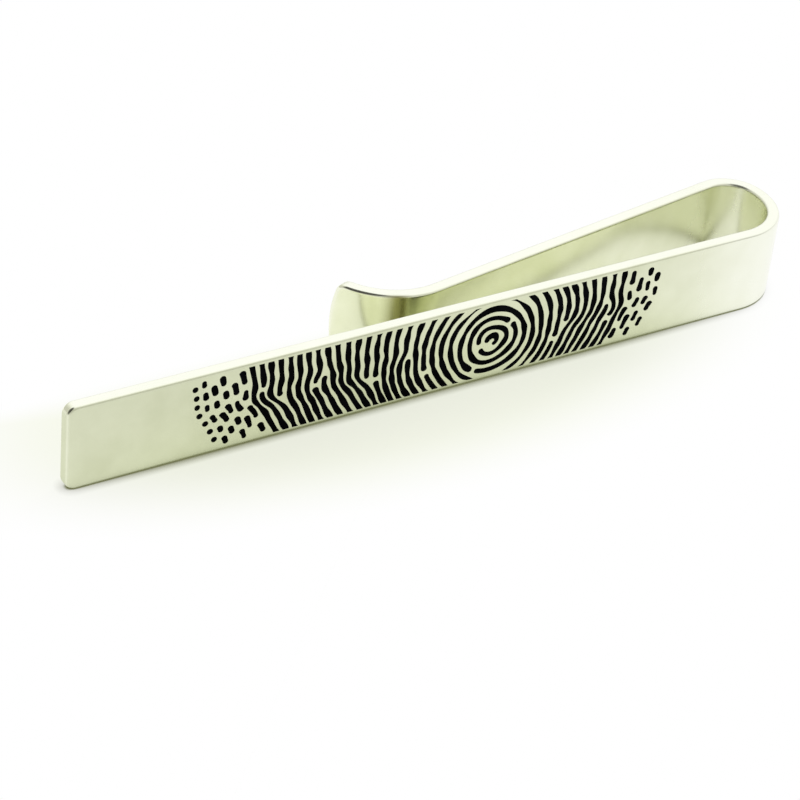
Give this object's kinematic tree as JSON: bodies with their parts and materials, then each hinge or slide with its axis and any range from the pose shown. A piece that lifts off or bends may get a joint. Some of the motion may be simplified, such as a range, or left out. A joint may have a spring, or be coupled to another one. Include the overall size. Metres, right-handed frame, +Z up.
{
  "type": "tie clip",
  "caption": "Slide tie clip: flat silver strip folded into a hairpin, with a sprung leg, flared grip lip and a blackened ridge engraving on its face.",
  "frame": {"origin": "under the middle of the clip's box, on the surface that its lower long edge stands on", "axes": "+X along the bar from its free end to the bend, +Y from the engraved face to the leg's side, +Z up across the width of the strip"},
  "size_m": [0.056, 0.0076, 0.006],
  "materials": {
    "silver": "polished silver with fine handling marks",
    "black_infill": "matt black infill in engraved grooves"
  },
  "bodies": {
    "bar": {"front_bar": "silver", "return_bend": "silver", "core_ring_infill": "black_infill", "left_ridge_infill": "black_infill", "right_ridge_infill": "black_infill", "end_fleck_infill": "black_infill"},
    "leg": {"clamp_leg": "silver", "grip_bow": "silver", "lead_in_lip": "silver"}
  },
  "joints": [
    {"name": "leg_flex", "type": "hinge", "parent": "bar", "child": "leg", "pos_m": [0.02522, 0.00109, 0.003], "axis": [0, 0, -1], "range_deg": [-3.4, 7], "stiffness_Nm_per_rad": 1.43, "deforming": ["return_bend"]}
  ]
}
